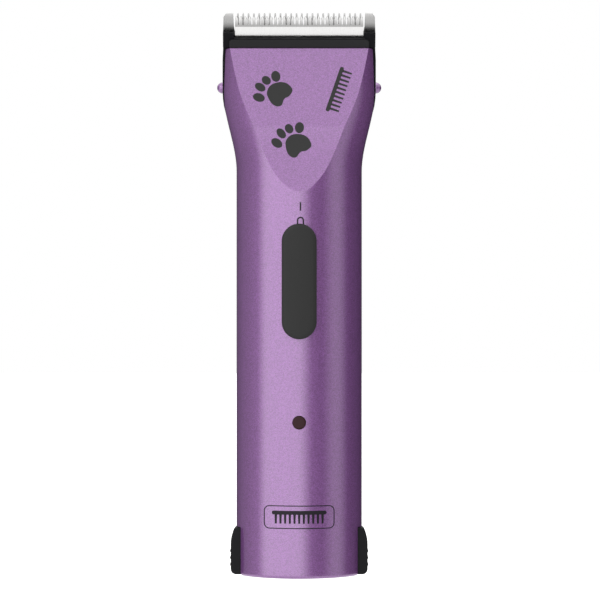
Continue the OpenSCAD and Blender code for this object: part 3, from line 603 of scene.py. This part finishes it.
# %% Grid helper
BUTTON_HALF, BUTTON_TOP = 5.9 * MM, 14.9 * MM
BASE_ROLL, TOP_ROLL, SEAM = 1 * MM, 0.45 * MM, 0.12 * MM  # radii of the edges, depth of the parting line


def rounded(z, low, high, low_r, high_r):
    """How far a row is pulled in near the bottom and the top edge."""
    pull = 0.0
    if z < low + low_r:
        pull = low_r - math.sqrt(max(0.0, low_r ** 2 - (low + low_r - z) ** 2))
    if z > high - high_r:
        pull = high_r - math.sqrt(max(0.0, high_r ** 2 - (z - high + high_r) ** 2))
    return pull


def span(a, b, n):
    """The n + 1 even steps from a to b."""
    return [a + (b - a) * k / n for k in range(n + 1)]


def arc_rows(low, radius, upward):
    """Heights of the rows that roll over an edge, one for every 15 degrees."""
    turns = [math.radians(15 * k) for k in range(7)]
    return [low + radius * (math.sin(a) if upward else 1 - math.cos(a)) for a in turns]


def mirrored(right):
    """Columns of the right half, with their mirror image and the middle one."""
    return [-v for v in reversed(right)] + [0.0] + right


def shell_object(name, rows, columns, point, skip):
    """A wall from a grid of points; skip drops the faces of an opening."""
    mesh = bpy.data.meshes.new(name)
    form = bmesh.new()
    grid = [[form.verts.new(point(z, u)) for u in columns] for z in rows]
    for r in range(len(rows) - 1):
        for c in range(len(columns) - 1):
            z, u = (rows[r] + rows[r + 1]) / 2, (columns[c] + columns[c + 1]) / 2
            if not skip(z, u):
                form.faces.new((grid[r][c], grid[r][c + 1], grid[r + 1][c + 1], grid[r + 1][c]))
    loose = [v for v in form.verts if not v.link_faces]
    bmesh.ops.delete(form, geom=loose, context="VERTS")
    bmesh.ops.remove_doubles(form, verts=form.verts, dist=0.002 * MM)
    bmesh.ops.recalc_face_normals(form, faces=form.faces)
    form.faces.ensure_lookup_table()
    first = form.faces[len(form.faces) // 2]
    if first.normal.dot(Vector((*first.calc_center_median().xy, 0))) < 0:
        bmesh.ops.reverse_faces(form, faces=form.faces)
    for face in form.faces:
        face.smooth = True
    form.to_mesh(mesh)
    form.free()
    shell = bpy.data.objects.new(name, mesh)
    bpy.context.scene.collection.objects.link(shell)
    mesh.materials.append(finishes["purple_paint"])
    return shell


print("parting line", SEAM / MM, "mm deep")

# %% [markdown]
# The front half carries the facet. Its upper edge follows the seat of the blade
# set, and its lower corners are open for the two release buttons.

# %% Front housing
OPEN_AT = (90 + edge_angle(50 * MM, -BUTTON_HALF)) / 90
CREASE, LEAST = 0.5, 0.15  # the crease's column, and its smallest share of the way round
open_column = CREASE + (1 - CREASE) * (OPEN_AT - LEAST) / (1 - LEAST)
front_columns = mirrored(span(0, CREASE, 26)[1:] + span(CREASE, open_column, 44)[1:]
                         + span(open_column, 0.992, 18)[1:] + [1.0])
front_rows = (arc_rows(0, BASE_ROLL, False) + span(4 * MM, BUTTON_TOP, 3)
              + span(20 * MM, 110 * MM, 12) + span(112 * MM, SHELL_TOP - 2 * TOP_ROLL, 122)
              + arc_rows(SHELL_TOP - TOP_ROLL, TOP_ROLL, True))
edge_of = {}
for z in front_rows:
    edge_y = min(0.0, seat_at(z, 1, 0)) if z > SEAT_SIDE_Z else 0.0
    edge_of[z] = edge_angle(z, edge_y)


def crease_share(z):
    """Share of the way round at which the curve meets the facet."""
    if z <= FACET_Z:
        return LEAST
    half, front, rear, shift, power = sizes_at(z)
    sine = min(1.0, max(0.0, (-facet_y(z) - shift) / front))
    angle = -math.degrees(math.asin(sine ** (power / 2)))
    return max(LEAST, (90 + angle) / (90 + edge_of[z]))


def front_point(z, u):
    """A point of the front skin; u is -1 and 1 at the parting line, 0 in the middle."""
    pull = rounded(z, 0, SHELL_TOP, BASE_ROLL, TOP_ROLL)
    groove = SEAM if abs(u) == 1 else 0.0
    crease = crease_share(z)
    if abs(u) <= CREASE:
        share = crease * abs(u) / CREASE
    else:
        share = crease + (1 - crease) * (abs(u) - CREASE) / (1 - CREASE)
    x, y = skin(z, -90 + (90 + edge_of[z]) * share, pull + groove)
    return math.copysign(x, u) if u else 0.0, y, z


front_housing = shell_object("front_housing", front_rows, front_columns, front_point,
                             lambda z, u: z < BUTTON_TOP and abs(u) > open_column)
wall = front_housing.modifiers.new("wall", "SOLIDIFY")
wall.thickness, wall.offset = WALL, -1
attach(front_housing, "housing")
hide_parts("front_shell")
print("front housing:", len(front_housing.data.polygons), "faces")

# %% [markdown]
# The rear half ends lower, where the blade set's heel sits on it, and its top
# edge has a notch in the middle for the hook of the blade set. Four screws go
# in from this side, each at the bottom of a round recess.

# %% Rear housing
HEEL_Z = 136.6 * MM
NOTCH_Z, NOTCH_HALF = 134.7 * MM, 6.3 * MM
SCREWS = [(s * 13.3 * MM, z * MM) for s in (-1, 1) for z in (79.0, 119.5)]
open_rear = (90 - edge_angle(50 * MM, BUTTON_HALF)) / 90


def rear_share(x, z):
    """Column place at which the rear skin has a distance across."""
    low, high = 0.0, 1.0
    for _ in range(30):
        mid = (low + high) / 2
        if skin(z, 90 - 90 * mid)[0] < x:
            low = mid
        else:
            high = mid
    return low


notch_u = rear_share(NOTCH_HALF, HEEL_Z)
rear_columns = mirrored(span(0, notch_u, 14)[1:] + span(notch_u, open_rear, 34)[1:]
                        + span(open_rear, 0.992, 14)[1:] + [1.0])
SEAT_STEPS = 8
rear_rows = (arc_rows(0, BASE_ROLL, False) + span(4 * MM, BUTTON_TOP, 3)
             + span(20 * MM, 120 * MM, 24) + span(122 * MM, NOTCH_Z, 14)
             + span(NOTCH_Z + 0.3 * MM, HEEL_Z, 4)
             + [HEEL_Z + k * MM for k in range(1, SEAT_STEPS + 1)])
rear_edge = {}


def rear_point(z, u):
    """A point of the rear skin; u is -1 and 1 at the parting line, 0 in the middle."""
    step = max(0.0, (z - HEEL_Z) / MM)
    height = min(z, HEEL_Z)
    if step > 0.5:  # the last rows follow the seat line, column by column
        top = HEEL_Z
        for _ in range(6):
            if top not in rear_edge:
                rear_edge[top] = edge_angle(top, 0.0)
            x, y = skin(top, 90 - (90 - rear_edge[top]) * abs(u))
            top = max(HEEL_Z, seat_at(y, 0, 1))
        height = HEEL_Z + (top - HEEL_Z) * round(step) / SEAT_STEPS
    if height not in rear_edge:
        rear_edge[height] = edge_angle(height, 0.0)
    pull = rounded(height, 0, 1, BASE_ROLL, TOP_ROLL)  # 1 m is out of reach: the top isn't rolled
    groove = SEAM if abs(u) == 1 else 0.0
    x, y = skin(height, 90 - (90 - rear_edge[height]) * abs(u), pull + groove)
    return math.copysign(x, u) if u else 0.0, y, height


def rear_opening(z, u):
    """The openings of the release buttons and the notch of the blade set's hook."""
    return (z < BUTTON_TOP and abs(u) > open_rear) or (z > NOTCH_Z and abs(u) < notch_u)


rear_housing = shell_object("rear_housing", rear_rows, rear_columns, rear_point, rear_opening)
wall = rear_housing.modifiers.new("wall", "SOLIDIFY")
wall.thickness, wall.offset = WALL, -1
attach(rear_housing, "housing")
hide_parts("rear_shell")
print("rear housing:", len(rear_housing.data.polygons), "faces")

# %% [markdown]
# Holes are cut with a Boolean modifier, which keeps the walls clean: four round
# screw recesses in the rear, and the window of the charge light in the front.

# %% Holes
def join_rings(form, rings):
    """Walls from each ring of points to the next, and a lid on the first and the last."""
    count = len(rings[0])
    for a, b in zip(rings, rings[1:]):
        for k in range(count):
            form.faces.new((a[k], a[(k + 1) % count], b[(k + 1) % count], b[k]))
    form.faces.new(list(reversed(rings[0])))
    form.faces.new(rings[-1])


def circle_points(x, z, radius, count):
    """Points round a circle that lies across the clipper's front."""
    turns = [math.tau * k / count for k in range(count)]
    return [(x + radius * math.cos(a), z + radius * math.sin(a)) for a in turns]


def round_bars(name, bars):
    """One mesh of round bars along y; a bar is (x, z, y0, y1, radius)."""
    mesh = bpy.data.meshes.new(name)
    form = bmesh.new()
    for x, z, y0, y1, radius in bars:
        join_rings(form, [[form.verts.new((px, y, pz)) for px, pz in circle_points(x, z, radius, 64)]
                          for y in (y0, y1)])
    bmesh.ops.recalc_face_normals(form, faces=form.faces)
    form.to_mesh(mesh)
    form.free()
    return bpy.data.objects.new(name, mesh)


def cut(target, tool, crisp):
    """Cuts the tool out of the target; edges that turn more than crisp degrees stay sharp."""
    bpy.context.scene.collection.objects.link(tool)
    hole = target.modifiers.new("hole", "BOOLEAN")
    hole.operation, hole.solver, hole.object = "DIFFERENCE", "EXACT", tool
    bpy.context.view_layer.update()
    graph = bpy.context.evaluated_depsgraph_get()
    done = bpy.data.meshes.new_from_object(target.evaluated_get(graph))
    done.set_sharp_from_angle(angle=math.radians(crisp))
    target.modifiers.clear()
    target.data = done
    bpy.data.objects.remove(tool)


light_low, light_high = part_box("light_lens")
LIGHT_Z = (light_low.z + light_high.z) / 2
LIGHT_R, RECESS_R = 2.05 * MM, 2.2 * MM
light_bar = (0, LIGHT_Z, -HALF_D - 2 * MM, -HALF_D + 5 * MM, LIGHT_R + 0.05 * MM)
screw_bars = [(x, z, 9 * MM, 20 * MM, RECESS_R) for x, z in SCREWS]
cut(front_housing, round_bars("light_hole", [light_bar]), crisp=16.5)
cut(rear_housing, round_bars("screw_holes", screw_bars), crisp=35)
print("cut", 1 + len(SCREWS), "holes; rear has", len(rear_housing.data.polygons), "faces")

# %% [markdown]
# ## Small pieces and printed marks
# These start from flat outlines: a slot with round ends, or a rectangle with
# round corners. A helper then turns a finished form into a piece that rides on
# one of the clipper's bodies.

# %% Outline helpers
def stadium(wide, tall, n=24):
    """Points round a slot with round ends, upright."""
    r = wide / 2
    turns = [math.pi * k / n for k in range(n + 1)]
    top = [(r * math.cos(a), tall / 2 - r + r * math.sin(a)) for a in turns]
    low = [(-x, -z) for x, z in top]
    return top + low


def panel(wide, tall, r, n=8):
    """Points round a rectangle with round corners."""
    points = []
    for sx, sz, start in ((1, 1, 0), (-1, 1, 90), (-1, -1, 180), (1, -1, 270)):
        mid_x, mid_z = sx * (wide / 2 - r), sz * (tall / 2 - r)
        for k in range(n + 1):
            a = math.radians(start + 90 * k / n)
            points.append((mid_x + r * math.cos(a), mid_z + r * math.sin(a)))
    return points


def add_piece(name, form, material, body, smooth_faces=True):
    """Turns a bmesh into a piece that rides on a body."""
    bmesh.ops.recalc_face_normals(form, faces=form.faces)
    for face in form.faces:
        face.smooth = smooth_faces
    mesh = bpy.data.meshes.new(name)
    form.to_mesh(mesh)
    form.free()
    piece = bpy.data.objects.new(name, mesh)
    bpy.context.scene.collection.objects.link(piece)
    mesh.materials.append(finishes[material])
    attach(piece, body)
    return piece


print("outline helpers ready")

# %% [markdown]
# Each screw stands at the bottom of a round sleeve, moulded on the inside of
# the rear housing. The top of a sleeve follows the curve of the skin.

# %% Screw sleeves
SLEEVE_R, SCREW_Y, SUNK = 2.55 * MM, 10 * MM, 0.6 * MM
SLEEVE = [  # radius, and depth where it isn't just under the skin
    (SLEEVE_R, SCREW_Y - SUNK), (SLEEVE_R, None), (RECESS_R, None), (RECESS_R, SCREW_Y),
]


def rear_skin(x):
    """Depth of the handle's rear skin at a distance across."""
    return HALF_D * (1 - (abs(x) / HALF_W) ** REAR_POWER) ** (1 / REAR_POWER)


form = bmesh.new()
for x, z in SCREWS:
    rings = []
    for radius, deep in SLEEVE:
        rings.append([form.verts.new((px, rear_skin(px) - SUNK if deep is None else deep, pz))
                      for px, pz in circle_points(x, z, radius, 48)])
    join_rings(form, rings)
add_piece("screw_sleeves", form, "purple_paint", "housing", smooth_faces=False)
print(len(SCREWS), "sleeves")

# %% [markdown]
# Inside the housing's upper edge stands a thin black rim. The blade set closes
# over it, so that no light shows through the seam.

# %% Seat rim
def half_width(y, z):
    """Half width of the skin at a depth and a height."""
    half, front_d, rear_d, shift, power = sizes_at(z)
    deep, used = (front_d, power) if y + shift < 0 else (rear_d, REAR_POWER)
    return half * (1 - min(1.0, abs(y + shift) / deep) ** used) ** (1 / used)


RIM_IN, RIM_T, RIM_HALF = 2.0 * MM, 0.5 * MM, 1.1 * MM
knots = [(-4.2, 158.0), *SEAT[1:], (12.0, 136.6)]
line = []
for (y0, z0), (y1, z1) in zip(knots, knots[1:]):
    line += [((y0 + (y1 - y0) * k / 8) * MM, (z0 + (z1 - z0) * k / 8) * MM) for k in range(8)]
line.append((knots[-1][0] * MM, knots[-1][1] * MM))
form = bmesh.new()
for side in (-1, 1):
    bars = []
    for k, (y, z) in enumerate(line):
        ahead, behind = line[min(k + 1, len(line) - 1)], line[max(k - 1, 0)]
        along = Vector((ahead[0] - behind[0], ahead[1] - behind[1])).normalized()
        across = Vector((-along.y, along.x)) * RIM_HALF
        x = half_width(y, z) - RIM_IN
        bars.append([form.verts.new((side * (x - t), y + way * across.x, z + way * across.y))
                     for way, t in ((-1, 0), (1, 0), (1, RIM_T), (-1, RIM_T))])
    join_rings(form, bars)
add_piece("seat_rim", form, "black_plastic", "housing", smooth_faces=False)
print("seat rim with", len(line), "stations on each side")

# %% [markdown]
# The slider is a soft grey pad with round ends. Its outline is one stadium
# curve, repeated in rings that step inwards as they rise, so the edge rolls
# over and the top is gently crowned. A bevelled box would have no crown.

# %% Slider
slider_low, slider_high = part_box("switch_slider")
SLIDER_W, SLIDER_L = slider_high.x - slider_low.x, slider_high.z - slider_low.z
SLIDER_Z = (slider_high.z + slider_low.z) / 2
SLIDER_Y = slider_low.y
form = bmesh.new()
rings = []
ROLL = 1.3 * MM
profile = [(0.0, 1.0)] + [(ROLL * (1 - math.cos(a)), 1 - math.sin(a))
                          for a in (math.radians(v) for v in range(0, 91, 10))]
for inset, fall in profile + [(v * MM, 0.0) for v in (1.9, 2.6, 3.3, 4.0, 4.6, 5.0)]:
    ring = []
    for x, z in stadium(SLIDER_W - 2 * inset, SLIDER_L - 2 * inset):
        crown = 0.55 * MM * (x / (SLIDER_W / 2)) ** 2 + 0.25 * MM * (z / (SLIDER_L / 2)) ** 2
        top = SLIDER_Y + 0.02 * MM + crown
        foot = front_y(x, SLIDER_Z) + 0.05 * MM
        y = foot if len(rings) == 0 else top + fall * ROLL * 0.8
        ring.append(form.verts.new((x, min(y, foot), SLIDER_Z + z)))
    rings.append(ring)
join_rings(form, rings)
bmesh.ops.remove_doubles(form, verts=form.verts, dist=0.002 * MM)
slider = add_piece("slider_pad", form, "slider_grey", "switch")
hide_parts("switch_slider")
print("slider", round(SLIDER_W / MM, 1), "x", round(SLIDER_L / MM, 1), "mm")

# %% [markdown]
# The charge light shines through a small lens of dark red plastic. It is built
# of rings too: a short cylinder in its hole, and a very shallow dome on top.

# %% Charge light
DOME = [(1.0, -1.2), (1.0, -0.06), (0.97, 0.0), (0.9, 0.04), (0.7, 0.07), (0.4, 0.09)]
form = bmesh.new()
rings = []
for share, rise in DOME:
    y = -HALF_D + 0.16 * MM - rise * MM
    points = circle_points(0, LIGHT_Z, share * (LIGHT_R - 0.04 * MM), 48)
    rings.append([form.verts.new((x, y, z)) for x, z in points])
join_rings(form, rings)
lens = add_piece("charge_lens", form, "lens_red", "housing")
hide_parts("light_lens")
print("lens", round(2 * LIGHT_R / MM, 1), "mm")

# %% [markdown]
# A flat lip crosses the blade set just above the facet, with two round corners.
# It is drawn in the leaning frame of the blades: across, through and along.

# %% Lip of the blade set
LEAN, TIP_Y, TIP_Z = math.radians(20), -5.0 * MM, 172.84 * MM
LIP_HALF, LIP_LOW, LIP_TOP, LIP_R = 21.4 * MM, -9.88 * MM, -7.4 * MM, 0.9 * MM


def blade_point(x, through, along):
    """A point given across, through and along the leaning blades."""
    return (x, TIP_Y + through * math.cos(LEAN) - along * math.sin(LEAN),
            TIP_Z + through * math.sin(LEAN) + along * math.cos(LEAN))


def lip_outline(inset):
    """The lip seen square on, pulled in at the top and the sides."""
    half, r = LIP_HALF - inset, LIP_R - inset
    top = LIP_TOP - inset
    turns = [math.radians(v) for v in range(0, 91, 15)]
    right = [(half - r + r * math.cos(a), top - r + r * math.sin(a)) for a in turns]
    return [(half, LIP_LOW)] + right + [(-x, v) for x, v in reversed(right)] + [(-half, LIP_LOW)]


form = bmesh.new()
rings = [[form.verts.new(blade_point(x, through * MM, v)) for x, v in lip_outline(inset * MM)]
         for through, inset in ((-4.6, 0.0), (-5.1, 0.0), (-5.2, 0.05), (-5.24, 0.14))]
join_rings(form, rings)
add_piece("blade_lip", form, "black_plastic", "blade_set", smooth_faces=False)
print("lip", round(2 * LIP_HALF / MM, 1), "mm wide")

# %% [markdown]
# The marks are printed: a thin layer of ink that follows the curve of the
# housing. Each mark is drawn as a flat shape, cut into small faces, and every
# point is then laid on the skin, a few hundredths of a millimetre proud.

# %% Printing helper
INK, PRINT_STEP = 0.03 * MM, 0.5 * MM  # thickness of the ink, longest edge of a face


def print_shapes(name, outlines, material, holes=()):
    """Flat outlines of (x, z) points laid on the front skin; a hole leaves a ring."""
    form = bmesh.new()
    for number, outline in enumerate(outlines):
        if number < len(holes) and holes[number]:
            inner = holes[number]
            a = [form.verts.new((x, 0, z)) for x, z in outline]
            b = [form.verts.new((x, 0, z)) for x, z in inner]
            for k in range(len(a)):
                form.faces.new((a[k], a[(k + 1) % len(a)], b[(k + 1) % len(b)], b[k]))
        else:
            form.faces.new([form.verts.new((x, 0, z)) for x, z in outline])
    for _ in range(40):
        long_edges = [e for e in form.edges if e.calc_length() > PRINT_STEP]
        if not long_edges:
            break
        bmesh.ops.subdivide_edges(form, edges=long_edges, cuts=1)
        bmesh.ops.triangulate(form, faces=form.faces)
        if len(form.faces) > 6000:
            break
    for v in form.verts:
        v.co.y = front_y(v.co.x, v.co.z) - INK
    print(name, len(form.faces), "faces")
    return add_piece(name, form, material, "housing")


def moved(points, x, z, turn=0.0):
    """The points turned by some degrees and moved to a place."""
    c, s = math.cos(math.radians(turn)), math.sin(math.radians(turn))
    return [(x + px * c - pz * s, z + px * s + pz * c) for px, pz in points]


# %% [markdown]
# Above the slider are the marks for on and off: a short upright line, and a small
# slot-shaped ring. The slider lies over part of the ring, and covers it all when
# it is pushed up.

# %% On and off marks
BAR_X, BAR_Z = 0.22 * MM, 1.3 * MM
bar = [(-BAR_X, -BAR_Z), (BAR_X, -BAR_Z), (BAR_X, BAR_Z), (-BAR_X, BAR_Z)]
print_shapes("mark_on", [moved(bar, 0.4 * MM, 112.8 * MM)], "print_black")
print_shapes("mark_off", [moved(stadium(2.2 * MM, 3.4 * MM, 10), 0.4 * MM, 108.0 * MM)], "print_black",
             [moved(stadium(1.3 * MM, 2.5 * MM, 10), 0.4 * MM, 108.0 * MM)])

# %% [markdown]
# Near the base is a badge: a thin rounded frame with a small picture in it.
# Here it holds a plain comb, and a second comb runs up the right of the facet.

# %% Badge and combs
def comb_shapes(wide, tall, teeth):
    """A comb: one spine and a row of teeth."""
    spine = tall * 0.30
    shapes = [moved(panel(wide, spine, spine * 0.45, 4), 0, (tall - spine) / 2)]
    pitch = wide * 0.94 / teeth
    root_z, tip_z = tall / 2 - spine * 0.9, -tall / 2
    root, tip = pitch * 0.27, pitch * 0.20  # half widths of a tooth
    for k in range(teeth):
        x = (k - (teeth - 1) / 2) * pitch
        shapes.append([(x - root, root_z), (x - tip, tip_z), (x + tip, tip_z), (x + root, root_z)])
    return shapes


BADGE_Z = 18.75 * MM
print_shapes("badge_frame", [moved(panel(21.5 * MM, 7.1 * MM, 1.7 * MM), 0, BADGE_Z)], "print_black",
             [moved(panel(20.9 * MM, 6.5 * MM, 1.4 * MM), 0, BADGE_Z)])
small_comb = comb_shapes(16.6 * MM, 3.9 * MM, 11)
print_shapes("badge_comb", [moved(s, 0, BADGE_Z) for s in small_comb], "print_black")
large_comb = comb_shapes(14.5 * MM, 4.0 * MM, 10)
print_shapes("facet_comb", [moved(s, 12.2 * MM, 148.4 * MM, 71) for s in large_comb], "print_grey")

# %% [markdown]
# Two paw prints sit on the facet. A paw is four oval toes in an arc beside a pad,
# whose outline is one smooth curve, and the lower paw is the same one turned.

# %% Paw prints
def oval(x, z, wide, tall, turn, n=26):
    """Points round an ellipse that is turned by some degrees."""
    turns = [math.tau * k / n for k in range(n)]
    points = [(wide / 2 * math.cos(a), tall / 2 * math.sin(a)) for a in turns]
    return moved(points, x, z, turn)


def closed_curve(points, steps=6):
    """A smooth closed curve through a few points."""
    curve = []
    count = len(points)
    for k in range(count):
        a, b, c, d = (Vector(points[(k + i) % count]) for i in (-1, 0, 1, 2))
        for i in range(steps):
            t = i / steps
            curve.append(tuple(0.5 * (2 * b + (c - a) * t + (2 * a - 5 * b + 4 * c - d) * t ** 2
                                      + (3 * b - 3 * c + d - a) * t ** 3)))
    return curve


TOES = [  # x, z, width, height and turn of each toe
    (-1.2, 5.4, 2.8, 3.4, 12), (-4.1, 4.15, 2.5, 3.0, 48),
    (-5.95, 2.05, 2.4, 3.5, 58), (-6.35, -1.15, 2.6, 3.7, 72),
]
PAD = [(-0.2, 3.6), (2.2, 3.2), (3.9, 1.3), (3.0, -0.6), (1.4, -1.6),
       (0.6, -3.5), (-0.8, -3.9), (-2.5, -2.9), (-3.9, 0.0), (-2.9, 2.5)]


def paw(x, z, turn):
    """Four toes in an arc round a pad, in mm round the middle of the pad."""
    shapes = [oval(*toe) for toe in TOES] + [closed_curve(PAD)]
    return [moved([(px * MM, pz * MM) for px, pz in shape], x, z, turn) for shape in shapes]


print_shapes("paw_upper", paw(-5.94 * MM, 147.4 * MM, 0), "print_grey")
print_shapes("paw_lower", paw(-0.4 * MM, 131.4 * MM, -17.5), "print_grey")
